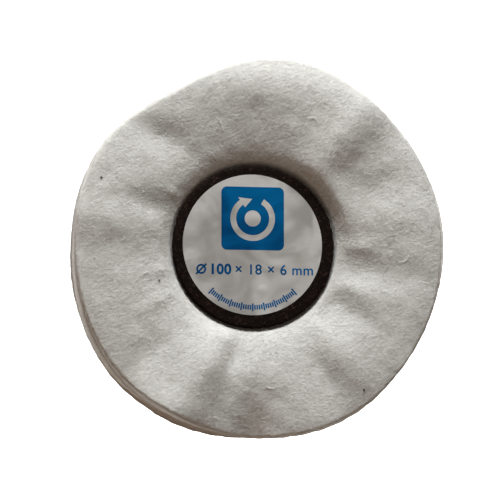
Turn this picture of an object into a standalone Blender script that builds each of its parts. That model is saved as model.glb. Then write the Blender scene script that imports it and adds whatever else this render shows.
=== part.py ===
"""Flannel polishing wheel: round cloth plies clamped between two centre discs by five clinched nails.

The wheel lies flat on its back. Its spin axis is Z, the printed label faces +Z, the top of the
label's print points to +Y, and the origin is the wheel's centre. Units are metres.
"""

import math

import bmesh
import bpy
from mathutils import Matrix, Vector

# Driving dimensions
WHEEL_RADIUS = 0.050
DISC_RADIUS = 0.022
LABEL_RADIUS = 0.019
PLY_COUNT = 20
GAP = 0.0003  # between pieces that touch on the real wheel

# The cloth plies: squeezed flat between the discs, loose and lofty outside them
CLAMPED_THICKNESS = 0.0003
CLAMPED_PITCH = CLAMPED_THICKNESS + GAP
LOFTED_THICKNESS = 0.00062
LOFTED_PITCH = 0.00096
CLAMP_EDGE_RADIUS = DISC_RADIUS + 0.0006
CREST_RADIUS = 0.034
PLY_SEGMENTS = 32

# The pilot hole that a tapered spindle screws into, a quarter of an inch across
PILOT_RADIUS = 0.003175

# The leatherboard centre discs
DISC_THICKNESS = 0.0020
DISC_EDGE_ROUND = 0.0006
DISC_SEGMENTS = 48

# The round label, stuck on a little off centre
LABEL_THICKNESS = 0.0002
LABEL_OFFSET = Vector((-0.00035, 0.00050))
LABEL_SEGMENTS = 48

# The nails: driven from the back until their heads are flush, their points flattened in
# shallow pockets under the label
NAIL_COUNT = 5
NAIL_CIRCLE_RADIUS = 0.012
NAIL_FIRST_ANGLE = math.radians(65)
NAIL_SHANK_RADIUS = 0.0007
NAIL_HEAD_RADIUS = 0.0018
NAIL_HEAD_HEIGHT = 0.0006
NAIL_CLINCH_RADIUS = 0.0012
NAIL_CLINCH_HEIGHT = 0.0004
NAIL_SEGMENTS = 12
NAIL_HOLE_SIDES = 4

# Heights that follow from them
CLAMPED_HALF = (PLY_COUNT * CLAMPED_PITCH - GAP) / 2
DISC_INNER_Z = CLAMPED_HALF + GAP
DISC_OUTER_Z = DISC_INNER_Z + DISC_THICKNESS
LABEL_UNDER_Z = DISC_OUTER_Z + GAP


def clear_scene():
    for old in list(bpy.data.objects):
        bpy.data.objects.remove(old)


def material(name, colour, roughness, metallic=0.0):
    made = bpy.data.materials.new(name)
    made.use_nodes = True
    shader = made.node_tree.nodes["Principled BSDF"]
    shader.inputs["Base Color"].default_value = (*colour, 1.0)
    shader.inputs["Roughness"].default_value = roughness
    shader.inputs["Metallic"].default_value = metallic
    return made


def place(name, mesh, finish, location=(0, 0, 0)):
    piece = bpy.data.objects.new(name, mesh)
    piece.location = location
    if finish is not None:
        mesh.materials.append(finish)
    bpy.context.scene.collection.objects.link(piece)
    return piece


def turned(name, profile, segments, finish, closed, location=(0, 0, 0), sharp_deg=35):
    """A solid turned about Z from (radius, height) points, in a closed loop or from axis to axis."""
    shape = bmesh.new()
    points = [shape.verts.new((radius, 0, height)) for radius, height in profile]
    ends = points[1:] + points[:1] if closed else points[1:]
    edges = [shape.edges.new(pair) for pair in zip(points, ends)]
    bmesh.ops.spin(
        shape,
        geom=points + edges,
        cent=(0, 0, 0),
        axis=(0, 0, 1),
        angle=math.tau,
        steps=segments,
        use_merge=True,
    )
    bmesh.ops.remove_doubles(shape, verts=shape.verts, dist=1e-6)
    bmesh.ops.recalc_face_normals(shape, faces=shape.faces)
    mesh = bpy.data.meshes.new(name)
    shape.to_mesh(mesh)
    shape.free()
    mesh.shade_smooth()
    mesh.set_sharp_from_angle(angle=math.radians(sharp_deg))
    return place(name, mesh, finish, location)


def nail_places():
    for number in range(NAIL_COUNT):
        angle = NAIL_FIRST_ANGLE + math.tau * number / NAIL_COUNT
        yield Vector((math.cos(angle), math.sin(angle), 0)) * NAIL_CIRCLE_RADIUS


def nail_cutter(name, clear_radius, sides, low, high):
    """One cutter with a prism at each nail, from height low to height high, which clears a round
    piece of clear_radius."""
    corner_radius = clear_radius / math.cos(math.pi / sides)
    shape = bmesh.new()
    for spot in nail_places():
        bmesh.ops.create_cone(
            shape,
            cap_ends=True,
            segments=sides,
            radius1=corner_radius,
            radius2=corner_radius,
            depth=high - low,
            matrix=Matrix.Translation(spot + Vector((0, 0, (low + high) / 2))),
        )
    mesh = bpy.data.meshes.new(name)
    shape.to_mesh(mesh)
    shape.free()
    cutter = place(name, mesh, None)
    cutter.hide_render = True
    cutter.display_type = "WIRE"
    return cutter


def cut(piece, cutter):
    hole = piece.modifiers.new(cutter.name, "BOOLEAN")
    hole.operation = "DIFFERENCE"
    hole.solver = "EXACT"
    hole.object = cutter


def ply(number, flannel, nail_holes):
    """One cloth disc, counted from the back: level in the clamp, then fanned out to its loft."""
    from_middle = number - (PLY_COUNT - 1) / 2
    clamped_z = from_middle * CLAMPED_PITCH
    lofted_z = from_middle * LOFTED_PITCH
    stations = [
        (PILOT_RADIUS, clamped_z, CLAMPED_THICKNESS / 2),
        (CLAMP_EDGE_RADIUS, clamped_z, CLAMPED_THICKNESS / 2),
        (CREST_RADIUS, lofted_z, LOFTED_THICKNESS / 2),
        (WHEEL_RADIUS, lofted_z, LOFTED_THICKNESS / 2),
    ]
    upper = [(radius, middle + half) for radius, middle, half in stations]
    lower = [(radius, middle - half) for radius, middle, half in reversed(stations)]
    piece = turned(f"ply_{number + 1:02d}", upper + lower, PLY_SEGMENTS, flannel, closed=True)
    cut(piece, nail_holes)
    return piece


def centre_disc(name, facing, leatherboard, nail_holes):
    """A flat disc with a rounded outer edge. facing is 1 for the front and -1 for the back."""
    soft = DISC_EDGE_ROUND
    bevel = [
        (DISC_RADIUS - soft * (1 - math.cos(turn)), DISC_OUTER_Z - soft * (1 - math.sin(turn)))
        for turn in (0, math.pi / 6, math.pi / 3, math.pi / 2)
    ]
    outline = [(PILOT_RADIUS, DISC_INNER_Z), (DISC_RADIUS, DISC_INNER_Z), *bevel]
    outline.append((PILOT_RADIUS, DISC_OUTER_Z))
    profile = [(radius, facing * height) for radius, height in outline]
    piece = turned(name, profile, DISC_SEGMENTS, leatherboard, closed=True)
    cut(piece, nail_holes)
    return piece


def label(foil):
    top = LABEL_UNDER_Z + LABEL_THICKNESS
    profile = [(0, LABEL_UNDER_Z), (LABEL_RADIUS, LABEL_UNDER_Z), (LABEL_RADIUS, top), (0, top)]
    return turned(
        "front_label", profile, LABEL_SEGMENTS, foil, closed=False, location=(*LABEL_OFFSET, 0)
    )


def nail(number, spot, steel):
    """A nail with a low domed head sunk flush in the back disc and a flattened point in the front."""
    head_under = NAIL_HEAD_HEIGHT - DISC_OUTER_Z
    clinch_under = DISC_OUTER_Z - NAIL_CLINCH_HEIGHT
    profile = [
        (0, -DISC_OUTER_Z),
        (NAIL_HEAD_RADIUS * 0.6, -DISC_OUTER_Z + NAIL_HEAD_HEIGHT * 0.15),
        (NAIL_HEAD_RADIUS, head_under - NAIL_HEAD_HEIGHT * 0.35),
        (NAIL_HEAD_RADIUS, head_under),
        (NAIL_SHANK_RADIUS, head_under),
        (NAIL_SHANK_RADIUS, clinch_under),
        (NAIL_CLINCH_RADIUS, clinch_under),
        (NAIL_CLINCH_RADIUS * 0.7, DISC_OUTER_Z),
        (0, DISC_OUTER_Z),
    ]
    name = f"clinch_nail_{number + 1}"
    return turned(name, profile, NAIL_SEGMENTS, steel, closed=False, location=spot)


def main():
    clear_scene()
    flannel = material("flannel", (0.55, 0.53, 0.49), 0.95)
    leatherboard = material("leatherboard", (0.020, 0.011, 0.008), 0.7)
    foil = material("label_foil", (0.42, 0.40, 0.38), 0.4, 0.5)
    steel = material("nail_steel", (0.45, 0.44, 0.42), 0.35, 1.0)

    beyond = DISC_OUTER_Z * 2
    shank_holes = nail_cutter(
        "shank_hole_cutter", NAIL_SHANK_RADIUS + GAP, NAIL_HOLE_SIDES, -beyond, beyond
    )
    head_floor = NAIL_HEAD_HEIGHT + GAP - DISC_OUTER_Z
    head_pockets = nail_cutter(
        "head_pocket_cutter", NAIL_HEAD_RADIUS + GAP, NAIL_SEGMENTS, -beyond, head_floor
    )
    clinch_floor = DISC_OUTER_Z - NAIL_CLINCH_HEIGHT - GAP
    clinch_pockets = nail_cutter(
        "clinch_pocket_cutter", NAIL_CLINCH_RADIUS + GAP, NAIL_SEGMENTS, clinch_floor, beyond
    )

    for number in range(PLY_COUNT):
        ply(number, flannel, shank_holes)
    back = centre_disc("back_centre_disc", -1, leatherboard, shank_holes)
    cut(back, head_pockets)
    front = centre_disc("front_centre_disc", 1, leatherboard, shank_holes)
    cut(front, clinch_pockets)
    label(foil)
    for number, spot in enumerate(nail_places()):
        nail(number, spot, steel)


main()
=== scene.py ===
"""A flannel polishing wheel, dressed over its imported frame.

Twenty puckered cloth plies, two leatherboard centre discs, a foil label with its print, and the
nails that clinch them together. The wheel lies flat with its label up. Units are metres.
"""

import math

import bmesh
import bpy
import numpy as np
from mathutils import Matrix, Vector


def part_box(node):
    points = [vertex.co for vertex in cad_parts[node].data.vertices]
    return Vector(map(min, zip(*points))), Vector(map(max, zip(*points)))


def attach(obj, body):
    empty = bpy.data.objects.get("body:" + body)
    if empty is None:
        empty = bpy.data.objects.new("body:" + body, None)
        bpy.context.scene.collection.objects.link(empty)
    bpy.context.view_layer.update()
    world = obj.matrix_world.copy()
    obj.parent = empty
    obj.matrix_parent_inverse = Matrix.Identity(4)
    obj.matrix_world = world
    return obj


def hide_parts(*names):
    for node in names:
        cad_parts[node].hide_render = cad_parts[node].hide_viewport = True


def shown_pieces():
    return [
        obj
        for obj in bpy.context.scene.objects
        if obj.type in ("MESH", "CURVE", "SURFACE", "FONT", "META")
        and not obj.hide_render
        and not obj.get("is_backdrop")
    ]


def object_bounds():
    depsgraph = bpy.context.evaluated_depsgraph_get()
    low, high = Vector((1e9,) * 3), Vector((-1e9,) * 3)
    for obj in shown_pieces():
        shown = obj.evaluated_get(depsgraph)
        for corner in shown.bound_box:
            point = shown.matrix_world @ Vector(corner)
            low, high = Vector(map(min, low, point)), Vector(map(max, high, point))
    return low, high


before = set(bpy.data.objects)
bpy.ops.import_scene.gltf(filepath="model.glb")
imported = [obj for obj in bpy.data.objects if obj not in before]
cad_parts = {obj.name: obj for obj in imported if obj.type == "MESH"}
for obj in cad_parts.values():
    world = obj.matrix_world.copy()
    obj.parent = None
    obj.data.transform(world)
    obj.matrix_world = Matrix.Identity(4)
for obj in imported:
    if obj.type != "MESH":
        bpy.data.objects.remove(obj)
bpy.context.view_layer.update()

MM = 0.001

# What the frame gives
PLY_NAMES = sorted(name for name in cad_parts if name.startswith("ply_"))
NAIL_NAMES = sorted(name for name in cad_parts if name.startswith("clinch_nail_"))
PLY_COUNT = len(PLY_NAMES)
FRONT_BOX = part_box("front_centre_disc")
LABEL_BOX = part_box("front_label")
WHEEL_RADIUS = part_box(PLY_NAMES[-1])[1][0]
DISC_RADIUS = FRONT_BOX[1][0]
DISC_INNER_Z = FRONT_BOX[0][2]
DISC_FACE_Z = FRONT_BOX[1][2]
LABEL_RADIUS = (LABEL_BOX[1][0] - LABEL_BOX[0][0]) / 2
LABEL_X = (LABEL_BOX[1][0] + LABEL_BOX[0][0]) / 2
LABEL_Y = (LABEL_BOX[1][1] + LABEL_BOX[0][1]) / 2
CLAMPED_TOP_Z = DISC_INNER_Z - 0.45 * MM
PILOT_RADIUS = 3.175 * MM

# The cloth: squeezed in the clamp, then up a short wall beside the disc, and in a dish to its crest
CUT_RADIUS = 50 * MM
CLAMPED_THICKNESS = 0.42 * MM
CLOTH_THICKNESS = 0.78 * MM
CLAMP_EDGE = 22.2 * MM
WALL_START = CLAMP_EDGE - 0.3 * MM
WALL_END = 23.0 * MM
CREST_RADIUS = 40.0 * MM
NEAR_TOP_Z = 6.95 * MM  # middle of the top ply at the top of the wall
NEAR_TILT = 0.05 * MM  # how much higher that is at +Y
CREST_TOP_Z = 10.7 * MM  # middle of the top ply at its crest
REST_Z = -9.0 * MM  # middle of the bottom ply where it lies
STEEP_SHARE = 0.2  # of the climb, over a short reach beside the disc
STEEP_REACH = 6.0 * MM
DISH_POWER = 2.1  # how roundly the rest of the climb eases off

# The rim: past the crest the cloth droops, and its last few millimetres curl
RIM_DROOP = 0.95 * MM
DROOP_POWER = 1.7
RIM_CURL = 0.55 * MM
CURL_START = 45 * MM
RIM_LEAN = 0.6  # how much more the rim droops at +Y than at -Y
RIM_FADE = 1.4  # how quickly the droop fades down the stack

# Where a ply comes free of the clamp: it is at full thickness, then free to pucker
FREE_START = 22.6 * MM
LOFT_END = 26.0 * MM
PUCKER_END = 26.5 * MM
PUCKER_FADE = 1.25  # how quickly the puckers of a face fade through the stack

# How the plies are meshed, the two outermost finer than the rest
INNER_RINGS = [3.175, 3.35, 12, 20.5, 21.8, 22.2, 22.5, 22.8, 23.1, 23.5, 24.1, 24.8]
LOOSE_RINGS = (25.6, 49.4)
FINE_MESH = (420, 68)  # spokes, and rings in the loose part
PLAIN_MESH = (200, 20)
STRETCH_START = 27 * MM  # from here out, the rings follow the wandering cut edge
EDGE_TURNS = (50, 20, -20, -50)  # of the rings round the cut edge, in degrees


# ---------------------------------------- noise and easing


def smooth(low, high, value):
    step = np.clip((value - low) / (high - low), 0, 1)
    return step * step * (3 - 2 * step)


def bell(away):
    """1 at the middle of a bulge, easing off to nothing at about twice its half width."""
    return np.exp(-(away**2))


def ripples(seed, x, y, size, count=36, variety=0.45):
    """Smooth aimless waviness of about unit height, with bumps about size across."""
    draw = np.random.default_rng(seed)
    heading = draw.uniform(0, math.tau, count)
    pace = math.tau / (size * 2 * draw.uniform(1 - variety, 1 + variety, count))
    phase = draw.uniform(0, math.tau, count)
    total = np.zeros(np.shape(x))
    for turn, fast, start in zip(heading, pace, phase):
        total += np.cos(fast * (x * math.cos(turn) + y * math.sin(turn)) + start)
    return total * math.sqrt(2 / count)


# ---------------------------------------- the puckered cloth

# Ridges and hollows of the front: angle about the axis in degrees, radius, half length along its
# run, half width across it, turn of its run from the spoke in degrees, and height, all in mm.
FRONT_PUCKERS = [
    (66, 41, 12.0, 6.0, 0, 0.50),
    (51, 39, 15.0, 5.6, 0, 2.00),
    (35, 37, 12.0, 3.2, 0, 0.05),
    (26, 39, 11.0, 4.4, -3, -0.62),
    (11, 42, 9.0, 4.4, -10, 0.42),
    (0, 27, 5.0, 1.8, 0, 0.40),
    (349, 33, 12.0, 4.6, 0, -1.00),
    (36, 25, 4.5, 8.0, 0, 1.40),
    (20, 27, 6.0, 7.0, 0, 0.55),
    (322, 27, 6.0, 7.0, 0, -0.75),
    (54, 50, 7.0, 10.0, 0, 0.90),
    (338, 28, 7.0, 2.2, 0, 0.35),
    (326, 33, 9.0, 3.6, 0, -0.75),
    (308, 37, 10.0, 4.0, 0, 1.00),
    (299, 40, 8.0, 3.2, 0, -0.50),
    (289, 53, 10.0, 7.0, 0, 1.20),
    (269, 52, 9.5, 6.5, 0, -2.30),
    (268, 34, 5.0, 7.0, 0, 0.45),
    (259, 30, 7.0, 2.8, 0, -1.20),
    (248, 34, 11.0, 5.4, 0, 2.30),
    (241, 53, 10.5, 9.5, 0, 3.60),
    (225, 42, 12.0, 3.4, 0, -0.45),
    (182, 38, 9.0, 6.0, 0, -0.20),
    (171, 42, 12.0, 5.0, 0, 0.95),
    (154, 37, 9.0, 3.6, 30, 0.30),
    (159, 29, 7.0, 2.8, 0, -0.50),
    (132, 39, 9.0, 5.0, 30, -1.60),
    (128, 53, 7.0, 12.0, 0, -1.20),
    (148, 26, 4.0, 1.5, 0, 0.35),
    (195, 26, 3.5, 1.6, 0, 0.35),
    (210, 30, 7.0, 1.8, 0, 0.40),
    (90, 44, 7.0, 20.0, 0, 1.15),
]

# The same for the back, where the table has pressed the cloth nearly flat.
BACK_PUCKERS = [
    (20, 33, 9.0, 3.4, 0, 0.75),
    (47, 42, 9.0, 4.0, 6, 0.95),
    (80, 31, 7.0, 3.0, 0, 0.60),
    (104, 44, 8.0, 4.6, 0, 1.05),
    (133, 32, 8.0, 3.0, -6, 0.70),
    (160, 43, 9.0, 4.2, 0, 0.90),
    (186, 30, 6.0, 2.6, 0, 0.60),
    (211, 41, 9.0, 4.4, 5, 1.00),
    (243, 33, 8.0, 3.2, 0, 0.75),
    (270, 45, 7.0, 4.6, 0, 0.85),
    (297, 32, 7.5, 3.0, 0, 0.65),
    (325, 43, 9.0, 4.2, -5, 1.00),
    (350, 36, 6.0, 3.0, 0, 0.50),
]

# Fine waviness of the front and of the back: seed, size across and height, in mm.
FRONT_WAVINESS = [(11, 4.4, 0.038), (12, 1.9, 0.010)]
BACK_WAVINESS = [(13, 4.5, 0.05)]

# Where the cut edges bulge or fall short of a true circle: angle and half width in degrees, mm.
RIM_BULGES = [
    (18, 36, 2.1),
    (75, 17, 1.6),
    (118, 20, -3.7),
    (178, 40, -1.7),
    (228, 20, 0.6),
    (300, 30, 1.6),
    (340, 14, 0.4),
]

# How much more the lowest ply does so than the top one.
LOW_BULGES = [
    (180, 26, -1.2),
    (226, 16, -0.7),
    (268, 18, -0.5),
    (310, 20, 0.2),
]

# The ragged line of a cut edge: waves round the wheel, and mm.
RAGGED_EDGE = [(61, 0.05), (97, 0.05), (143, 0.04)]

# How unevenly the plies were cut, each in its own way: waves round the wheel, and mm.
CUT_SPARE = 0.15 * MM
CUT_SEED = 700
CUT_WAVES = range(2, 9)
CUT_SCATTER = 0.16
CUT_SCATTER_PER_PLY = 0.012  # more for each ply further down

# How each ply ripples towards its rim: waves round the wheel, and mm.
FRINGE_SEED = 300
FRINGE_WAVES = (7, 11, 16, 23)
FRINGE_SCATTER = 0.045
FRINGE_START = 36 * MM
FRINGE_END = 49 * MM

# Plies that were cut a little large: the share of the stack below them, how far along the stack
# that spreads, and mm.
WIDE_PLIES = [(0.10, 0.20, 0.30), (0.55, 0.08, 0.40), (0.90, 0.05, 0.70)]

# Where upper plies slid out into a ledge: the same shares, angle and half width in degrees, and mm.
LEDGES = [(0.895, 0.06, 216, 26, 1.0)]


def pucker_field(puckers, waviness, x, y):
    """The summed height of the ridges, hollows and waviness at each point."""
    total = np.zeros(np.shape(x))
    for angle, radius, length, width, turn, height in puckers:
        spoke = math.radians(angle)
        run = math.radians(angle + turn)
        across_x = x - radius * MM * math.cos(spoke)
        across_y = y - radius * MM * math.sin(spoke)
        along = (across_x * math.cos(run) + across_y * math.sin(run)) / (length * MM)
        aside = (across_y * math.cos(run) - across_x * math.sin(run)) / (width * MM)
        total += height * MM * bell(along) * bell(aside)
    for seed, size, height in waviness:
        total += height * MM * ripples(seed, x, y, size * MM)
    return total


def angle_between(a, b):
    return (a - b + 180) % 360 - 180


def rim_radius(number, theta):
    """The cut edge of a ply, at each angle."""
    degrees = np.degrees(theta)
    depth = PLY_COUNT - 1 - number
    upward = number / (PLY_COUNT - 1)
    total = np.full(np.shape(theta), WHEEL_RADIUS + CUT_SPARE)
    for angle, width, bulge in RIM_BULGES:
        total += bulge * MM * bell(angle_between(degrees, angle) / width)
    for angle, width, bulge in LOW_BULGES:
        total += bulge * MM * (1 - upward) * bell(angle_between(degrees, angle) / width)
    for middle, spread_up, extra in WIDE_PLIES:
        total += extra * MM * bell((upward - middle) / spread_up)
    for middle, spread_up, angle, width, extra in LEDGES:
        around = bell(angle_between(degrees, angle) / width)
        total += extra * MM * bell((upward - middle) / spread_up) * around
    draw = np.random.default_rng(CUT_SEED + number)
    for waves in CUT_WAVES:
        size = draw.normal(0, CUT_SCATTER + CUT_SCATTER_PER_PLY * depth) * MM / math.sqrt(waves)
        total += size * np.cos(waves * theta + draw.uniform(0, math.tau))
    for waves, size in RAGGED_EDGE:
        total += size * MM * np.cos(waves * theta + draw.uniform(0, math.tau))
    return total


def dished_height(level, radius, theta):
    """The height of an unpuckered ply. level runs from -1 for the bottom ply to 1 for the top."""
    clamped = level * CLAMPED_TOP_Z
    near = level * (NEAR_TOP_Z + NEAR_TILT * np.sin(theta))
    loft = CREST_TOP_Z * level if level > 0 else -REST_Z * level
    wall = smooth(WALL_START, WALL_END, radius)
    climb = np.clip((radius - CLAMP_EDGE) / (CREST_RADIUS - CLAMP_EDGE), 0, 1)
    steep = np.clip((radius - CLAMP_EDGE) / STEEP_REACH, 0, 1)
    dish = 1 - (1 - STEEP_SHARE) * (1 - climb) ** DISH_POWER - STEEP_SHARE * (1 - steep) ** 2
    height = clamped + (near - clamped) * wall + (loft - near) * dish
    beyond = np.clip((radius - CREST_RADIUS) / (WHEEL_RADIUS - CREST_RADIUS), 0, 1.2)
    curl = np.clip((radius - CURL_START) / (CUT_RADIUS - CURL_START), 0, 1.4)
    lean = (1 + RIM_LEAN * np.sin(theta)) / (1 + RIM_LEAN)
    front = max(level, 0)
    droop = RIM_DROOP * beyond**DROOP_POWER * front**RIM_FADE + RIM_CURL * curl**2 * front**2
    return height - lean * droop


def middle_height(number, radius, theta):
    """The height of a ply's mid-surface."""
    upward = number / (PLY_COUNT - 1)
    height = dished_height(2 * upward - 1, radius, theta)
    x = radius * np.cos(theta)
    y = radius * np.sin(theta)
    front = pucker_field(FRONT_PUCKERS, FRONT_WAVINESS, x, y) * upward**PUCKER_FADE
    back = pucker_field(BACK_PUCKERS, BACK_WAVINESS, x, y) * (1 - upward) ** PUCKER_FADE
    height = height + smooth(FREE_START, PUCKER_END, radius) * (front + back)
    draw = np.random.default_rng(FRINGE_SEED + number)
    fringe = smooth(FRINGE_START, FRINGE_END, radius)
    for waves in FRINGE_WAVES:
        size = draw.normal(0, FRINGE_SCATTER) * MM
        height = height + fringe * size * np.cos(waves * theta + draw.uniform(0, math.tau))
    return height


def ply_ring(number, radius, theta, side):
    """A ring of a ply's points. side runs from 1 on its front to -1 on its back."""
    gain = CLOTH_THICKNESS - CLAMPED_THICKNESS
    thickness = CLAMPED_THICKNESS + gain * smooth(FREE_START, LOFT_END, radius)
    height = middle_height(number, radius, theta) + side * thickness / 2
    return np.stack([radius * np.cos(theta), radius * np.sin(theta), height], axis=1)


def cloth_ply(number, spokes, loose_rings):
    """A closed sheet: front rings, a rounded cut edge, back rings, and the wall of the hole."""
    theta = np.linspace(0, math.tau, spokes, endpoint=False)
    rim = rim_radius(number, theta)
    reaches = []
    for station in [*INNER_RINGS, *np.linspace(*LOOSE_RINGS, loose_rings)]:
        radius = station * MM
        reaches.append(radius + (rim - CUT_RADIUS) * smooth(STRETCH_START, CUT_RADIUS, radius))
    front = [ply_ring(number, reach, theta, 1) for reach in reaches]
    back = [ply_ring(number, reach, theta, -1) for reach in reversed(reaches)]
    soft = CLOTH_THICKNESS / 2
    edge = []
    for turn in EDGE_TURNS:
        lean = math.radians(turn)
        edge.append(ply_ring(number, rim - soft + soft * math.cos(lean), theta, math.sin(lean)))
    return loop_mesh(PLY_NAMES[number], [*front, *edge, *back])


def loop_mesh(name, rings):
    """A closed mesh from rings of points, each joined to the next and the last to the first."""
    count = len(rings[0])
    points = np.concatenate(rings)
    here = np.arange(count)
    after = (here + 1) % count
    quads = []
    for ring in range(len(rings)):
        low = ring * count
        high = (ring + 1) % len(rings) * count
        quads.append(np.stack([low + here, high + here, high + after, low + after], axis=1))
    mesh = bpy.data.meshes.new(name)
    mesh.from_pydata(points.tolist(), [], np.concatenate(quads).tolist())
    mesh.shade_smooth()
    return mesh


# ---------------------------------------- node helpers


class Wire:
    """A node's output, so that shader maths reads as plain expressions."""

    def __init__(self, tree, socket):
        self.tree = tree
        self.socket = socket

    def beside(self, name):
        """Another output of the same node."""
        return Wire(self.tree, self.socket.node.outputs[name])

    def maths(self, operation, other=0.0, reflected=False):
        """A maths node on this wire and another value, or on them the other way round."""
        first, second = (other, self) if reflected else (self, other)
        return add(self.tree, "ShaderNodeMath", {"operation": operation}, {0: first, 1: second})

    def __add__(self, other):
        return self.maths("ADD", other)

    def __sub__(self, other):
        return self.maths("SUBTRACT", other)

    def __rsub__(self, other):
        return self.maths("SUBTRACT", other, reflected=True)

    def __mul__(self, other):
        return self.maths("MULTIPLY", other)

    def __truediv__(self, other):
        return self.maths("DIVIDE", other)

    def __rtruediv__(self, other):
        return self.maths("DIVIDE", other, reflected=True)

    __radd__ = __add__
    __rmul__ = __mul__


def add(tree, kind, settings=None, values=None, output=0):
    """Adds any node: its settings come first, then the values or links of its sockets. A list
    of wires goes into one socket, in that order."""
    node = tree.nodes.new(kind)
    for key, value in (settings or {}).items():
        setattr(node, key, value)
    for key, value in (values or {}).items():
        socket = node.inputs[key]
        for source in value if isinstance(value, list) else [value]:
            if isinstance(source, Wire):
                tree.links.new(source.socket, socket)
            else:
                socket.default_value = source
    return Wire(tree, node.outputs[output]) if len(node.outputs) else None


def mix_colour(tree, share, first, second):
    """first where share is 0 and second where it is 1. Each is a wire or red, green and blue."""
    values = {0: share}
    for key, colour in ((6, first), (7, second)):
        values[key] = colour if isinstance(colour, Wire) else (*colour, 1.0)
    return add(tree, "ShaderNodeMix", {"data_type": "RGBA"}, values, output=2)


def noise(tree, where, scale, detail=2.0, roughness=0.5, distortion=0.0):
    values = {"Vector": where, "Scale": scale, "Detail": detail}
    values |= {"Roughness": roughness, "Distortion": distortion}
    return add(tree, "ShaderNodeTexNoise", {}, values)


def spread(tree, value, low, high):
    """value's stretch from low to high, opened out to 0 to 1."""
    values = {"Value": value, "From Min": low, "From Max": high}
    return add(tree, "ShaderNodeMapRange", {"interpolation_type": "SMOOTHSTEP"}, values)


def laid(tree, turn=0, stretch=(1, 1, 1)):
    """Object coordinates turned about Z by turn degrees, then stretched."""
    place = add(tree, "ShaderNodeTexCoord", output="Object")
    values = {"Vector": place, "Rotation": (0, 0, math.radians(turn)), "Scale": stretch}
    return add(tree, "ShaderNodeMapping", {"vector_type": "TEXTURE"}, values)


def bump(tree, height, strength, distance):
    values = {"Height": height, "Strength": strength, "Distance": distance}
    return add(tree, "ShaderNodeBump", {}, values)


def finish_of(name, constants, varying=None):
    """A material: constants set on its Principled shader, and what varies made by a function."""
    made = bpy.data.materials.new(name)
    made.use_nodes = True
    tree = made.node_tree
    shader = tree.nodes["Principled BSDF"]
    for key, value in constants.items():
        shader.inputs[key].default_value = value
    if varying:
        for key, wire in varying(tree).items():
            tree.links.new(wire.socket, shader.inputs[key])
    return made


# ---------------------------------------- the finishes


def flannel_look(tree):
    """Napped cotton: short brushed streaks over a faint cloudiness."""
    plain = laid(tree)
    brushed = laid(tree, 14, (1, 0.42, 0.6))
    crossed = laid(tree, -38, (1, 0.45, 0.6))
    streaks = noise(tree, brushed, 620, detail=4, roughness=0.62, distortion=0.6)
    cross_streaks = noise(tree, crossed, 800, detail=3, roughness=0.6, distortion=0.5)
    clumps = noise(tree, plain, 330, detail=3, roughness=0.55, distortion=0.3)
    clouds = noise(tree, plain, 75)
    nap = streaks * 0.45 + cross_streaks * 0.3 + clumps * 0.25
    tone = spread(tree, nap, 0.36, 0.64)
    colour = mix_colour(tree, tone, (0.450, 0.440, 0.415), (0.578, 0.575, 0.556))
    cloudy = spread(tree, clouds, 0.3, 0.7)
    worn = mix_colour(tree, cloudy * 0.35, colour, (0.595, 0.592, 0.573))
    return {"Base Color": worn, "Normal": bump(tree, nap, 0.7, 0.35 * MM)}


def leatherboard_look(tree):
    """Pressed leather fibres: near black, with short reddish flecks."""
    one_way = laid(tree, 32, (1, 0.24, 0.4))
    other_way = laid(tree, -47, (1, 0.24, 0.4))
    flecks = noise(tree, one_way, 900, distortion=1.2)
    cross_flecks = noise(tree, other_way, 1100, distortion=1.2)
    grain = noise(tree, laid(tree), 1500, detail=4, roughness=0.6)
    fleck_share = spread(tree, flecks, 0.60, 0.74) + spread(tree, cross_flecks, 0.62, 0.74)
    dark = mix_colour(tree, grain, (0.002, 0.001, 0.0007), (0.009, 0.005, 0.0035))
    height = grain * 0.5 + fleck_share * 0.5
    return {
        "Base Color": mix_colour(tree, fleck_share * 0.7, dark, (0.085, 0.05, 0.038)),
        "Roughness": 0.6 + grain * 0.3,
        "Normal": bump(tree, height, 0.5, 0.12 * MM),
    }


def creases_of(tree):
    """The soft creases of the label film, which its ink shares."""
    return noise(tree, laid(tree, 25, (1, 0.6, 1)), 170, detail=3, distortion=0.5)


def foil_look(tree):
    """Satin label film, creased, with painted reflections: its colour clouds lighter and darker in
    places.
    """
    plain = laid(tree)
    # These colour clouds are painted reflections of the satin film, not a tone of the film itself;
    # the roughness that follows them is real.
    clouds = noise(tree, plain, 95, distortion=0.8)
    grain = noise(tree, plain, 5200)
    tone = spread(tree, clouds, 0.32, 0.68)
    height = creases_of(tree) * 0.85 + grain * 0.02
    return {
        "Base Color": mix_colour(tree, tone, (0.465, 0.47, 0.47), (0.68, 0.69, 0.69)),
        "Roughness": 0.34 + tone * 0.1 + grain * 0.06,
        "Normal": bump(tree, height, 0.24, 0.5 * MM),
    }


def ink_look(tree):
    """Blue ink, deeper in places, on the same creased film."""
    tone = spread(tree, noise(tree, laid(tree), 80, distortion=0.6), 0.3, 0.7)
    colour = mix_colour(tree, tone, (0.0002, 0.040, 0.125), (0.0003, 0.088, 0.235))
    return {"Base Color": colour, "Normal": bump(tree, creases_of(tree), 0.3, 0.5 * MM)}


def steel_look(tree):
    """Drawn steel with faint hammer marks and handling scratches."""
    marks = noise(tree, laid(tree), 900)
    scratches = noise(tree, laid(tree, 60, (1, 0.08, 1)), 3000, roughness=0.6)
    return {
        "Base Color": mix_colour(tree, marks, (0.30, 0.29, 0.275), (0.55, 0.54, 0.52)),
        "Roughness": 0.25 + scratches * 0.3,
        "Normal": bump(tree, marks + scratches * 0.3, 0.4, 0.1 * MM),
    }


def lint_look(tree):
    """Bleached cotton, a little uneven."""
    tone = noise(tree, laid(tree), 1400)
    return {"Base Color": mix_colour(tree, tone, (0.80, 0.80, 0.77), (0.93, 0.93, 0.92))}


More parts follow.
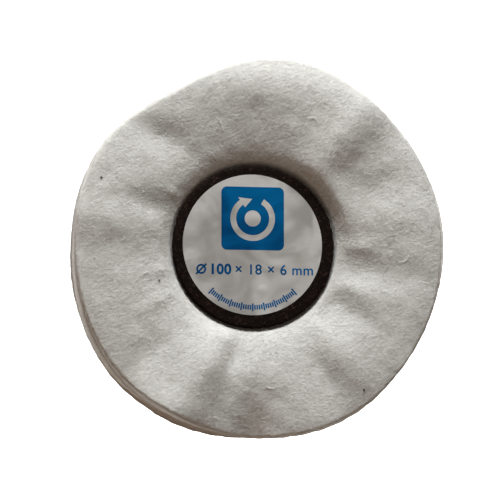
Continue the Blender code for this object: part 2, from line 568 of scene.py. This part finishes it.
def speck_look(tree):
    """Crumbs of dark grit."""
    tone = noise(tree, laid(tree), 6000, detail=3, roughness=0.6)
    return {
        "Base Color": mix_colour(tree, tone, (0.006, 0.005, 0.004), (0.028, 0.022, 0.018)),
        "Roughness": 0.55 + tone * 0.4,
        "Normal": bump(tree, tone, 0.6, 0.1 * MM),
    }


FLANNEL = finish_of("flannel", {"Roughness": 0.95, "Specular IOR Level": 0.2}, flannel_look)
LEATHERBOARD = finish_of("leatherboard", {"Specular IOR Level": 0.04}, leatherboard_look)
FOIL = finish_of("label_foil", {"Metallic": 0.75}, foil_look)
INK = finish_of("label_ink", {"Roughness": 0.5, "Specular IOR Level": 0.03}, ink_look)
STEEL = finish_of("nail_steel", {"Metallic": 1.0}, steel_look)
SPECK = finish_of("dark_speck", {"Specular IOR Level": 0.2}, speck_look)
LINT = finish_of("white_lint", {"Roughness": 0.8, "Specular IOR Level": 0.3}, lint_look)

# A fibre is one strand of one tone, so the nap is mixed from fibres of three.
NAP_COLOURS = {
    "white": (0.665, 0.665, 0.65, 1),
    "cream": (0.62, 0.612, 0.585, 1),
    "grey": (0.575, 0.57, 0.555, 1),
}
NAP_TONES = [
    finish_of(
        f"nap_fibre_{shade}",
        {"Base Color": colour, "Roughness": 0.9, "Specular IOR Level": 0.2},
    )
    for shade, colour in NAP_COLOURS.items()
]


# ---------------------------------------- making pieces


def piece(name, mesh, finish, stands_for=()):
    """Puts a finished mesh in the scene, riding on the wheel."""
    made = bpy.data.objects.new(name, mesh)
    bpy.context.scene.collection.objects.link(made)
    mesh.materials.clear()
    mesh.materials.append(finish)
    if stands_for:
        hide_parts(*stands_for)
    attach(made, "root")
    return made


def node_tree(name, sockets):
    """An empty Geometry Nodes tree with a geometry in and out and the named inputs of each kind."""
    tree = bpy.data.node_groups.new(name, "GeometryNodeTree")
    tree.is_modifier = True
    face = tree.interface
    face.new_socket("Geometry", in_out="OUTPUT", socket_type="NodeSocketGeometry")
    face.new_socket("Geometry", in_out="INPUT", socket_type="NodeSocketGeometry")
    for kind, labels in sockets.items():
        for label in labels:
            face.new_socket(label, in_out="INPUT", socket_type="NodeSocket" + kind)
    inlet = add(tree, "NodeGroupInput")
    return tree, {label: inlet.beside(label) for label in ("Geometry", *sum(sockets.values(), []))}


def finish_tree(tree, geometry, material):
    """Ends a tree in Realize Instances and Set Material."""
    solid = add(tree, "GeometryNodeRealizeInstances", {}, {"Geometry": geometry})
    made = add(tree, "GeometryNodeSetMaterial", {}, {"Geometry": solid, "Material": material})
    add(tree, "NodeGroupOutput", {}, {"Geometry": made})


def grown(name, emitter, tree, values):
    """Runs a tree on a mesh and returns the result as a plain mesh."""
    holder = bpy.data.objects.new(name + "_holder", emitter)
    bpy.context.scene.collection.objects.link(holder)
    modifier = holder.modifiers.new(tree.name, "NODES")
    modifier.node_group = tree
    for item in tree.interface.items_tree:
        if item.in_out == "INPUT" and item.name in values:
            modifier[item.identifier] = values[item.name]
    holder.update_tag()
    bpy.context.view_layer.update()
    ready = holder.evaluated_get(bpy.context.evaluated_depsgraph_get())
    mesh = bpy.data.meshes.new_from_object(ready)
    mesh.name = name
    holder.modifiers.remove(modifier)
    bpy.data.objects.remove(holder)
    return mesh


# ---------------------------------------- the plies

plies = []
for number, ply_name in enumerate(PLY_NAMES):
    outermost = number in (0, PLY_COUNT - 1)
    mesh = cloth_ply(number, *(FINE_MESH if outermost else PLAIN_MESH))
    plies.append(piece(f"cloth_{ply_name}", mesh, FLANNEL, stands_for=[ply_name]))


# ---------------------------------------- the nap


# The fibres of the nap, and those of the fuzz on the cut edges. Angles are in radians.
NAP_FIBRE = {
    "Fibre length": 1.1 * MM,
    "Fibre width": 0.040 * MM,
    "Arch": 0.10 * MM,
    "Least tilt": 0.0,
    "Most tilt": 0.32,
    "Scatter": 0.95,
}
FUZZ_FIBRE = {
    **NAP_FIBRE,
    "Fibre length": 0.8 * MM,
    "Fibre width": 0.03 * MM,
    "Most tilt": 1.3,
}
FRONT_DENSITY = 9.5e6  # fibres in a square metre
PLAIN_DENSITY = 6.0e6

# What all of them share
BLADE_STEPS = 4
BLADE_TAPER = 1.5
BLADE_WAVE = 5.0  # from root to tip, and how wide that is in fibre lengths
BLADE_CURL = 0.14
SIDE_LEAN = 0.5  # either way
FIBRE_SIZES = (0.55, 1.35)


def nap_tree():
    """Short bent fibres, brushed one way with some scatter, on the faces they are given."""
    floats = ["Density", *NAP_FIBRE]
    tree, given = node_tree("nap", {"Float": floats, "Int": ["Seed"], "Material": ["Finish"]})
    length = given["Fibre length"]
    values = {"Size X": length, "Size Y": given["Fibre width"]}
    values |= {"Vertices X": BLADE_STEPS + 1, "Vertices Y": 2}
    blade = add(tree, "GeometryNodeMeshGrid", {}, values)
    place = add(tree, "GeometryNodeInputPosition")
    split = add(tree, "ShaderNodeSeparateXYZ", {}, {"Vector": place})
    along = split / length
    lift = (0.25 - along * along) * given["Arch"] * 4
    taper = 1 - along.maths("ABSOLUTE") * BLADE_TAPER
    curl = (along * BLADE_WAVE).maths("SINE") * length * BLADE_CURL
    values = {"X": (along + 0.5) * length, "Y": split.beside("Y") * taper + curl, "Z": lift}
    bent = add(tree, "ShaderNodeCombineXYZ", {}, values)
    fibre = add(tree, "GeometryNodeSetPosition", {}, {"Geometry": blade, "Position": bent})
    values = {"Mesh": given["Geometry"], "Density": given["Density"], "Seed": given["Seed"]}
    roots = add(tree, "GeometryNodeDistributePointsOnFaces", {}, values)

    def draw(low, high, offset):
        """A random number for each fibre, apart from those with another offset."""
        values = {2: low, 3: high, "Seed": given["Seed"] + offset}
        return add(tree, "FunctionNodeRandomValue", {"data_type": "FLOAT"}, values, output=1)

    backwards = draw(0.0, 1.0, 2)
    yaw = draw(-1.0, 1.0, 1) * given["Scatter"] + backwards.maths("ROUND") * math.pi
    tilt = draw(given["Least tilt"], given["Most tilt"], 3) * -1
    values = {"X": draw(-SIDE_LEAN, SIDE_LEAN, 4), "Y": tilt, "Z": yaw}
    lean = add(tree, "ShaderNodeCombineXYZ", {}, values)
    turn = add(tree, "FunctionNodeEulerToRotation", {}, {"Euler": lean})
    upright = add(
        tree,
        "FunctionNodeAlignRotationToVector",
        {"axis": "Z", "pivot_axis": "AUTO"},
        {"Vector": roots.beside("Normal")},
    )
    facing = add(
        tree,
        "FunctionNodeRotateRotation",
        {"rotation_space": "LOCAL"},
        {"Rotation": upright, "Rotate By": turn},
    )
    values = {"Points": roots, "Instance": fibre, "Rotation": facing}
    values["Scale"] = draw(*FIBRE_SIZES, 5)
    finish_tree(tree, add(tree, "GeometryNodeInstanceOnPoints", {}, values), given["Finish"])
    return tree


def part_of(name, meshes, wanted):
    """The meshes joined, with only the faces whose centre and normal pass."""
    shape = bmesh.new()
    for mesh in meshes:
        shape.from_mesh(mesh)
    unwanted = [face for face in shape.faces if not wanted(face.calc_center_median(), face.normal)]
    bmesh.ops.delete(shape, geom=unwanted, context="FACES")
    copy = bpy.data.meshes.new(name)
    shape.to_mesh(copy)
    shape.free()
    return copy


NAP_START = 22.9 * MM


def on_face(facing):
    """Faces outside the centre disc that look to the front or the back."""
    return lambda centre, normal: centre.xy.length > NAP_START and normal.z * facing > 0.2


def on_cut_edge(centre, normal):
    outward = Vector((centre.x, centre.y, 0)).normalized()
    return centre.xy.length > CURL_START and normal.dot(outward) > 0.55


NAP_TREE = nap_tree()


def nap_on(name, meshes, wanted, fibre, tones, seed, density):
    """Grows an even mixture of fibres, one piece for each tone, on the wanted faces."""
    bed = part_of(name + "_bed", meshes, wanted)
    for number, finish in enumerate(tones):
        values = {"Seed": seed + number, "Density": density / len(tones), "Finish": finish}
        nap = grown(f"{name}_{number + 1}", bed, NAP_TREE, {**fibre, **values})
        piece(nap.name, nap, finish)


cloths = [ply.data for ply in plies]
nap_on("front_nap", cloths[-1:], on_face(1), NAP_FIBRE, NAP_TONES, 40, FRONT_DENSITY)
nap_on("back_nap", cloths[:1], on_face(-1), NAP_FIBRE, NAP_TONES[:2], 50, PLAIN_DENSITY)
nap_on("edge_fuzz", cloths, on_cut_edge, FUZZ_FIBRE, NAP_TONES[:2], 60, PLAIN_DENSITY)


# ---------------------------------------- lint and specks

# Loose fibres on the front: x, y, heading in degrees, length and sideways bow, in mm.
LOOSE_FIBRES = [
    (-10.9, 34.6, -65, 4.6, 0.5),
    (-9.6, 32.4, 100, 2.2, -0.3),
    (14.0, 34.6, -20, 3.2, 0.9),
    (39.2, -3.6, 35, 3.4, -0.9),
    (-30.5, -8.4, 20, 2.2, 0.4),
    (5.0, -38.0, 160, 2.6, 0.5),
]
FIBRE_SIDES = 6
FIBRE_STEPS = 10
FIBRE_GIRTH = 0.075 * MM
FIBRE_LIFT = 0.22 * MM


def front_height(x, y):
    """The front of the cloth."""
    radius = math.hypot(x, y)
    theta = np.array(math.atan2(y, x))
    return float(middle_height(PLY_COUNT - 1, radius, theta)) + CLOTH_THICKNESS / 2


def loose_fibre(shape, x, y, heading, length, bow):
    """Adds a closed, slightly bowed thread that lies on the front."""
    turn = math.radians(heading)
    along = Vector((math.cos(turn), math.sin(turn), 0))
    aside = Vector((-math.sin(turn), math.cos(turn), 0))
    rings = []
    for step in range(FIBRE_STEPS + 1):
        share = step / FIBRE_STEPS
        spot = Vector((x, y, 0)) + along * length * share + aside * bow * 4 * share * (1 - share)
        spot *= MM
        spot.z = front_height(spot.x, spot.y) + FIBRE_LIFT
        girth = FIBRE_GIRTH * (0.35 + 2.6 * share * (1 - share))
        ring = []
        for side in range(FIBRE_SIDES):
            lean = math.tau * side / FIBRE_SIDES
            offset = aside * math.cos(lean) + Vector((0, 0, math.sin(lean)))
            ring.append(shape.verts.new(spot + offset * girth))
        rings.append(ring)
    for low, high in zip(rings, rings[1:]):
        for side in range(FIBRE_SIDES):
            after = (side + 1) % FIBRE_SIDES
            shape.faces.new((low[side], low[after], high[after], high[side]))
    shape.faces.new(rings[0])
    shape.faces.new(rings[-1])


def shaped(name, build):
    """A mesh made by a function that fills a bmesh, with its faces turned outward."""
    shape = bmesh.new()
    build(shape)
    bmesh.ops.recalc_face_normals(shape, faces=shape.faces)
    mesh = bpy.data.meshes.new(name)
    shape.to_mesh(mesh)
    shape.free()
    mesh.shade_smooth()
    return mesh


def all_loose_fibres(shape):
    for fibre in LOOSE_FIBRES:
        loose_fibre(shape, *fibre)


piece("loose_fibres", shaped("loose_fibres", all_loose_fibres), LINT)

# Dark specks caught in the nap: x, y and half width, in mm.
SPECKS = [(-41.6, 17.5, 0.30), (-25.9, -9.6, 0.24), (29.5, -38.4, 0.27), (36.6, 1.1, 0.17)]
SPECK_LIFT = 0.15 * MM
SPECK_SHAPE = (1.2, 1.0, 0.6)


def all_specks(shape):
    for x, y, half in SPECKS:
        spot = Vector((x * MM, y * MM, front_height(x * MM, y * MM) + SPECK_LIFT))
        size = Matrix.Diagonal((*(half * share * MM for share in SPECK_SHAPE), 1))
        made = bmesh.ops.create_icosphere(shape, subdivisions=2, radius=1.0)
        for corner in made["verts"]:
            corner.co = Matrix.Translation(spot) @ size @ corner.co


piece("dark_specks", shaped("dark_specks", all_specks), SPECK)


# ---------------------------------------- the centre discs


BOARD_SPOKES = 288
BOARD_ROUND = 0.55 * MM  # of its outer edge on the face
BOARD_SOFT = 0.2 * MM  # of its outer edge against the cloth
HOLE_SOFT = 0.15 * MM
FACE_RINGS = (20.4, 19.2, 17.5, 12, 7)
INNER_FACE_RING = 12 * MM
SIDE_RING = 0.9 * MM  # above the inner face

# The fibrous rim of a board: where it begins, the size of its fibres, how far they stand out
# sideways and upward, then the same for the slow waves under them
ROUGH_START = 19 * MM
ROUGH_SIZE = 0.9 * MM
ROUGH_OUT = 0.035 * MM
ROUGH_UP = 0.03 * MM
WAVE_START = 19.3 * MM
WAVE_SIZE = 6 * MM
WAVE_UP = 0.04 * MM


def board_outline():
    """Radius and height, from the hole along the inner face, round the edge and back."""
    inner = DISC_INNER_Z
    outline = [(PILOT_RADIUS, inner), (INNER_FACE_RING, inner), (DISC_RADIUS - BOARD_SOFT, inner)]
    outline += [(DISC_RADIUS, inner + BOARD_SOFT), (DISC_RADIUS, inner + SIDE_RING)]
    for turn in range(0, 91, 15):
        lean = math.radians(turn)
        radius = DISC_RADIUS - BOARD_ROUND * (1 - math.cos(lean))
        outline.append((radius, DISC_FACE_Z - BOARD_ROUND * (1 - math.sin(lean))))
    outline += [(radius * MM, DISC_FACE_Z) for radius in FACE_RINGS]
    outline.append((PILOT_RADIUS + HOLE_SOFT, DISC_FACE_Z))
    outline.append((PILOT_RADIUS, DISC_FACE_Z - HOLE_SOFT))
    return outline


def board(name, facing, rim_seed):
    """A leatherboard disc with a softly rounded, fibrous edge."""
    theta = np.linspace(0, math.tau, BOARD_SPOKES, endpoint=False)
    rings = []
    for radius, height in board_outline():
        x = radius * np.cos(theta)
        y = radius * np.sin(theta)
        rough = ripples(rim_seed, x, y, ROUGH_SIZE) * smooth(ROUGH_START, DISC_RADIUS, radius)
        wave = ripples(rim_seed + 1, x, y, WAVE_SIZE) * smooth(WAVE_START, DISC_RADIUS, radius)
        reach = radius + ROUGH_OUT * rough
        level = height + ROUGH_UP * rough * (height > DISC_INNER_Z) + WAVE_UP * wave
        rings.append(np.stack([reach * np.cos(theta), reach * np.sin(theta), level], axis=1))
    if facing < 0:
        rings = [ring * np.array([1, 1, -1]) for ring in rings[::-1]]
    return loop_mesh(name, rings)


for side, facing, rim_seed in (("front", 1, 51), ("back", -1, 61)):
    board_name = f"{side}_centre_board"
    piece(
        board_name,
        board(board_name, facing, rim_seed),
        LEATHERBOARD,
        stands_for=[f"{side}_centre_disc"],
    )


# ---------------------------------------- the nails

NAIL_SPOTS = []
for nail_name in NAIL_NAMES:
    low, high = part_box(nail_name)
    NAIL_SPOTS.append(((low[0] + high[0]) / 2, (low[1] + high[1]) / 2))
NAIL_LENGTH = DISC_FACE_Z * 2 - 0.1 * MM
SHANK_RADIUS = 0.7 * MM
HEAD_RADIUS = 1.8 * MM
HEAD_SQUASH = (1, 1, 0.18)
HEAD_Z = 0.25 * MM - DISC_FACE_Z
POINT_SQUASH = (0.66, 0.66, 0.12)
POINT_Z = DISC_FACE_Z - 0.2 * MM


def nail_tree():
    """One turned nail on each point."""
    sockets = {"Float": ["Shank radius", "Head radius"], "Material": ["Finish"]}
    tree, given = node_tree("nails", sockets)
    values = {"Vertices": 20, "Radius": given["Shank radius"], "Depth": NAIL_LENGTH}
    shank = add(tree, "GeometryNodeMeshCylinder", {}, values)
    values = {"Segments": 28, "Rings": 12, "Radius": given["Head radius"]}
    ball = add(tree, "GeometryNodeMeshUVSphere", {}, values)

    def squashed(height, squash):
        values = {"Geometry": ball, "Translation": (0, 0, height), "Scale": squash}
        return add(tree, "GeometryNodeTransform", {}, values)

    parts = [squashed(POINT_Z, POINT_SQUASH), squashed(HEAD_Z, HEAD_SQUASH), shank]
    joined = add(tree, "GeometryNodeJoinGeometry", {}, {"Geometry": parts})
    rounded = add(tree, "GeometryNodeSetShadeSmooth", {}, {"Geometry": joined})
    values = {"Points": given["Geometry"], "Instance": rounded}
    finish_tree(tree, add(tree, "GeometryNodeInstanceOnPoints", {}, values), given["Finish"])
    return tree


nail_points = bpy.data.meshes.new("nail_points")
nail_points.from_pydata([(x, y, 0) for x, y in NAIL_SPOTS], [], [])
nail_values = {"Shank radius": SHANK_RADIUS, "Head radius": HEAD_RADIUS, "Finish": STEEL}
nail_mesh = grown("clinched_nails", nail_points, nail_tree(), nail_values)
piece("clinched_nails", nail_mesh, STEEL, stands_for=NAIL_NAMES)


# ---------------------------------------- the label

LABEL_THICKNESS = 0.05 * MM
LABEL_LIFT = 0.03 * MM  # of its back over the disc
NAIL_BUMP = 0.13 * MM
NAIL_BUMP_WIDTH = 1.25 * MM
LABEL_SLACK = 0.03 * MM
SLACK_SEED = 71
SLACK_SIZE = 4.5 * MM
LABEL_SPOKES = 240
LABEL_RINGS = [0.02, 0.5, *np.arange(1.0, 18.8, 0.5), 18.95, 19.0]  # the last is its edge


def label_height(x, y):
    """The label's front: flat, with a low bump over each nail and slack between them."""
    height = np.full(np.shape(x), DISC_FACE_Z + LABEL_LIFT + LABEL_THICKNESS)
    for nail_x, nail_y in NAIL_SPOTS:
        apart = (x - nail_x) ** 2 + (y - nail_y) ** 2
        height += NAIL_BUMP * np.exp(-apart / NAIL_BUMP_WIDTH**2)
    return height + LABEL_SLACK * (1 + ripples(SLACK_SEED, x, y, SLACK_SIZE, variety=0.3))


def label_sheet():
    """A closed round sheet that follows label_height."""
    theta = np.linspace(0, math.tau, LABEL_SPOKES, endpoint=False)
    front = []
    for station in LABEL_RINGS:
        radius = LABEL_RADIUS * station / LABEL_RINGS[-1]
        x = LABEL_X + radius * np.cos(theta)
        y = LABEL_Y + radius * np.sin(theta)
        front.append(np.stack([x, y, label_height(x, y)], axis=1))
    back = [ring - np.array([0, 0, LABEL_THICKNESS]) for ring in reversed(front)]
    mesh = loop_mesh("front_foil_label", [*front, *back])
    shape = bmesh.new()
    shape.from_mesh(mesh)
    bmesh.ops.remove_doubles(shape, verts=shape.verts, dist=0.012 * MM)
    bmesh.ops.recalc_face_normals(shape, faces=shape.faces)
    shape.to_mesh(mesh)
    shape.free()
    mesh.shade_smooth()
    mesh.set_sharp_from_angle(angle=math.radians(35))
    return mesh


piece("front_foil_label", label_sheet(), FOIL, stands_for=["front_label"])

INK_THICKNESS = 0.02 * MM

# How finely the print's curves are drawn
CORNER_STEPS = 8
RING_STEPS = 48
CIRCLE_STEPS = 40

# The print's sizes, in mm about the label's centre
TILE_Y = 7.1
TILE_HALF = 8.55
TILE_CORNER = 1.5
ARROW_RADIUS = 5.3
ARROW_WIDTH = 1.6
ARROW_START = 60  # degrees, then the sweep of the ring and of the arrowhead past its end
ARROW_SWEEP = -295
ARROWHEAD_SWEEP = 34
ARROWHEAD_SPREAD = 1.05
HUB_RADIUS = 2.2
FIGURE_HEIGHT = 2.7
CAPITAL_SHARE = 0.7  # a capital's height in the font's size
LETTER_SPACE = 1.06
FIGURE_Y = -8.0
BOLD = 0.12
LIGHT = 0.05
BOLD_X = -11.85
WORD_SPACE = 0.85
SIGN_X = -14.0
SIGN_Y = FIGURE_Y + 1.25
SIGN_RADII = (1.35, 0.85)
SIGN_SLASH = [(-1.55, -1.25), (-1.2, -1.55), (1.55, 1.25), (1.2, 1.55)]
SLASH_LIFT = 0.01  # keeps the slash from merging with the ring
CREASE_LINES = range(-19, 20)  # where a print is cut so that it can bend
CREASE_OFFSET = 0.037  # keeps the cuts off the corners of the drawing


def pressed(name, flats):
    """Lays flat drawings, in mm about the label's centre, on the label as a skin of ink."""
    shape = bmesh.new()
    for flat in flats:
        shape.from_mesh(flat)
    bmesh.ops.remove_doubles(shape, verts=shape.verts, dist=0.002)
    for axis in (Vector((1, 0, 0)), Vector((0, 1, 0))):
        for step in CREASE_LINES:
            bmesh.ops.bisect_plane(
                shape,
                geom=[*shape.verts, *shape.edges, *shape.faces],
                dist=1e-5,
                plane_co=axis * (step + CREASE_OFFSET),
                plane_no=axis,
            )
    bmesh.ops.triangulate(shape, faces=shape.faces)
    for corner in shape.verts:
        x = LABEL_X + corner.co.x * MM
        y = LABEL_Y + corner.co.y * MM
        corner.co = (x, y, float(label_height(np.array(x), np.array(y))) + INK_THICKNESS)
    bmesh.ops.recalc_face_normals(shape, faces=shape.faces)
    if sum(face.normal.z for face in shape.faces) < 0:
        bmesh.ops.reverse_faces(shape, faces=shape.faces)
    mesh = bpy.data.meshes.new(name)
    shape.to_mesh(mesh)
    shape.free()
    mesh.shade_smooth()
    return mesh


def flattened(curve):
    """The mesh of a flat curve or text."""
    holder = bpy.data.objects.new(curve.name, curve)
    bpy.context.scene.collection.objects.link(holder)
    bpy.context.view_layer.update()
    ready = holder.evaluated_get(bpy.context.evaluated_depsgraph_get())
    mesh = bpy.data.meshes.new_from_object(ready)
    bpy.data.objects.remove(holder)
    return mesh


def drawn(outlines):
    """A filled flat drawing from closed outlines, where an outline inside another is a hole."""
    curve = bpy.data.curves.new("drawing", "CURVE")
    curve.dimensions = "2D"
    curve.fill_mode = "BOTH"
    for outline in outlines:
        spline = curve.splines.new("POLY")
        spline.points.add(len(outline) - 1)
        for point, (x, y) in zip(spline.points, outline):
            point.co = (x, y, 0, 1)
        spline.use_cyclic_u = True
    return flattened(curve)


def lettered(text, x, y, weight):
    """Flat figures as a mesh, starting at x on the line y, in mm. Returns it and where it ends."""
    curve = bpy.data.curves.new("figures", "FONT")
    curve.body = text
    curve.size = FIGURE_HEIGHT / CAPITAL_SHARE
    curve.offset = weight
    curve.space_character = LETTER_SPACE
    mesh = flattened(curve)
    mesh.transform(Matrix.Translation((x, y, 0)))
    return mesh, max(corner.co.x for corner in mesh.vertices)


def rounded_square(half, corner, x, y):
    points = []
    for quarter, (side_x, side_y) in enumerate(((1, 1), (-1, 1), (-1, -1), (1, -1))):
        middle_x = x + side_x * (half - corner)
        middle_y = y + side_y * (half - corner)
        for step in range(CORNER_STEPS + 1):
            turn = math.radians(quarter * 90 + step * 90 / CORNER_STEPS)
            points.append((middle_x + corner * math.cos(turn), middle_y + corner * math.sin(turn)))
    return points


def arrow_ring(radius, width, start, sweep, x, y):
    """An open ring that ends in an arrowhead."""
    turns = [math.radians(start + sweep * step / RING_STEPS) for step in range(RING_STEPS + 1)]
    outer = [(radius + width / 2, turn) for turn in turns]
    inner = [(radius - width / 2, turn) for turn in reversed(turns)]
    tip = math.radians(start + sweep + math.copysign(ARROWHEAD_SWEEP, sweep))
    wide = width * ARROWHEAD_SPREAD
    head = [(radius + wide, turns[-1]), (radius, tip), (radius - wide, turns[-1])]
    polar = [*outer, *head, *inner]
    return [(x + reach * math.cos(turn), y + reach * math.sin(turn)) for reach, turn in polar]


def circle(radius, x, y):
    turns = [math.tau * step / CIRCLE_STEPS for step in range(CIRCLE_STEPS)]
    return [(x + radius * math.cos(turn), y + radius * math.sin(turn)) for turn in turns]


def tile_print():
    """A rounded tile with a ring arrow, which shows how the wheel turns, round a hub."""
    tile = rounded_square(TILE_HALF, TILE_CORNER, 0, TILE_Y)
    arrow = arrow_ring(ARROW_RADIUS, ARROW_WIDTH, ARROW_START, ARROW_SWEEP, 0, TILE_Y)
    return pressed("label_tile_print", [drawn([tile, arrow, circle(HUB_RADIUS, 0, TILE_Y)])])


piece("label_tile_print", tile_print(), INK)

sign_ring = drawn([circle(radius, SIGN_X, SIGN_Y) for radius in SIGN_RADII])
sign_slash = drawn([[(SIGN_X + x, SIGN_Y + y) for x, y in SIGN_SLASH]])
sign_slash.transform(Matrix.Translation((0, 0, SLASH_LIFT)))
bold_figures, bold_end = lettered("100", BOLD_X, FIGURE_Y, BOLD)
size_print = pressed("label_size_print", [sign_ring, sign_slash, bold_figures])
piece("label_size_print", size_print, INK)
light_figures, _ = lettered("× 18 × 6 mm", bold_end + WORD_SPACE, FIGURE_Y, LIGHT)
piece("label_bore_print", pressed("label_bore_print", [light_figures]), INK)


def tick_tree():
    """A row of short bars along an arc, every fifth one longer."""
    floats = ["Radius", "Half sweep", "Bar width", "Bar length", "Short share"]
    tree, given = node_tree("ticks", {"Int": ["Count"], "Float": floats, "Material": ["Finish"]})
    row = add(tree, "GeometryNodeMeshLine", {}, {"Count": given["Count"], "Offset": (0, 0, 0)})
    index = add(tree, "GeometryNodeInputIndex")
    turn = (index / (given["Count"] - 1) * 2 - 1) * given["Half sweep"] - math.pi / 2
    x = given["Radius"] * turn.maths("COSINE")
    y = given["Radius"] * turn.maths("SINE")
    spot = add(tree, "ShaderNodeCombineXYZ", {}, {"X": x, "Y": y})
    along = add(tree, "GeometryNodeSetPosition", {}, {"Geometry": row, "Position": spot})
    values = {"Size X": given["Bar length"], "Size Y": given["Bar width"]}
    values |= {"Vertices X": 2, "Vertices Y": 2}
    bar = add(tree, "GeometryNodeMeshGrid", {}, values)
    fifth = index.maths("MODULO", 5.0)
    long_bar = 1 - fifth.maths("MINIMUM", 1.0)
    reach = given["Short share"] + long_bar * (1 - given["Short share"])
    size = add(tree, "ShaderNodeCombineXYZ", {}, {"X": reach, "Y": 1.0, "Z": 1.0})
    euler = add(tree, "ShaderNodeCombineXYZ", {}, {"Z": turn})
    facing = add(tree, "FunctionNodeEulerToRotation", {}, {"Euler": euler})
    values = {"Points": along, "Instance": bar, "Rotation": facing, "Scale": size}
    finish_tree(tree, add(tree, "GeometryNodeInstanceOnPoints", {}, values), given["Finish"])
    return tree


TICKS = {
    "Count": 41,
    "Radius": 16.9,
    "Half sweep": math.radians(42),
    "Bar width": 0.42,
    "Bar length": 2.1,
    "Short share": 0.6,
    "Finish": INK,
}
tick_mesh = grown("ticks", bpy.data.meshes.new("tick_start"), tick_tree(), TICKS)
piece("label_tick_print", pressed("label_tick_print", [tick_mesh]), INK)


# ---------------------------------------- the studio

FLOOR_HALF = 3.0
FLOOR_GAP = 0.05 * MM
floor_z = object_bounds()[0][2] - FLOOR_GAP
floor_mesh = bpy.data.meshes.new("floor")
floor_corners = [(-1, -1), (1, -1), (1, 1), (-1, 1)]
floor_mesh.from_pydata(
    [(x * FLOOR_HALF, y * FLOOR_HALF, floor_z) for x, y in floor_corners], [], [(0, 1, 2, 3)]
)
floor = bpy.data.objects.new("floor", floor_mesh)
bpy.context.scene.collection.objects.link(floor)
FLOOR_FINISH = {"Base Color": (0.93, 0.93, 0.93, 1), "Roughness": 0.9, "Specular IOR Level": 0.1}
floor_mesh.materials.append(finish_of("pale_floor", FLOOR_FINISH))
floor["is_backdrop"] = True


def aimed(thing, place, target, roll_up=Vector((0, 0, 1))):
    """Turns a light or camera at place to look at target, with roll_up towards its top."""
    forward = (target - place).normalized()
    right = forward.cross(roll_up).normalized()
    top = right.cross(forward)
    turn = Matrix((right, top, -forward)).transposed().to_4x4()
    thing.matrix_world = Matrix.Translation(place) @ turn


def softbox(name, place, width, height, watts, colour):
    """A rectangular light at place that looks at the wheel."""
    lamp = bpy.data.lights.new(name, "AREA")
    lamp.shape = "RECTANGLE"
    lamp.size = width
    lamp.size_y = height
    lamp.energy = watts
    lamp.color = colour
    holder = bpy.data.objects.new(name, lamp)
    bpy.context.scene.collection.objects.link(holder)
    aimed(holder, Vector(place), Vector((0, 0, 0)))
    return holder


def only_on(lamp, name, things):
    """Keeps a light to these things. The wheel still blocks it."""
    group = bpy.data.collections.new(name)
    for thing in things:
        group.objects.link(thing)
    lamp.light_linking.receiver_collection = group


# Each light: name, place, width, height, watts, colour, and what it falls on
LIGHTS = [
    ("window_light", (-0.04, 1.1, 0.422), 0.60, 0.36, 30.5, (0.975, 1.0, 1.0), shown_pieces()),
    ("overhead_fill", (0.35, -0.1, 1.3), 1.2, 1.2, 1.2, (1.0, 0.90, 0.80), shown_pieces()),
    ("table_bounce", (-0.62, -0.98, 0.10), 0.9, 0.25, 3.0, (1.0, 0.70, 0.54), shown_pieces()),
    ("ledge_fill", (0.08, 0.08, 1.2), 0.5, 0.5, 5.0, (1.0, 0.94, 0.88), plies[-5:-1]),
    ("floor_light", (0.0, 0.02, 0.9), 3.0, 3.0, 240.0, (1.0, 1.0, 1.0), [floor]),
]
for name, place, width, height, watts, colour, falls_on in LIGHTS:
    only_on(softbox(name, place, width, height, watts, colour), f"lit_by_{name}", falls_on)
floor.visible_diffuse = False
floor.visible_glossy = False

WORLD_COLOUR = (1.0, 0.75, 0.57, 1)
WORLD_STRENGTH = 0.122
world = bpy.data.worlds.new("studio")
world.use_nodes = True
background = world.node_tree.nodes["Background"]
background.inputs["Color"].default_value = WORLD_COLOUR
background.inputs["Strength"].default_value = WORLD_STRENGTH
bpy.context.scene.world = world

CAMERA_DISTANCE = 0.65
CAMERA_TILT = math.radians(11.5)
CAMERA_SIDE = Vector((-0.85, -0.5, 0)).normalized()
VIEW_WIDTH = 134.4 * MM
LOOK_AT = Vector((-1.07 * MM, -0.94 * MM, DISC_FACE_Z))
camera = bpy.data.cameras.new("camera")
camera.sensor_width = 36
camera.lens = camera.sensor_width * CAMERA_DISTANCE / VIEW_WIDTH
camera_object = bpy.data.objects.new("camera", camera)
bpy.context.scene.collection.objects.link(camera_object)
toward_camera = CAMERA_SIDE * math.sin(CAMERA_TILT) + Vector((0, 0, math.cos(CAMERA_TILT)))
aimed(camera_object, LOOK_AT + toward_camera * CAMERA_DISTANCE, LOOK_AT, Vector((0, 1, 0)))
bpy.context.scene.camera = camera_object
bpy.context.scene.view_settings.view_transform = "Standard"
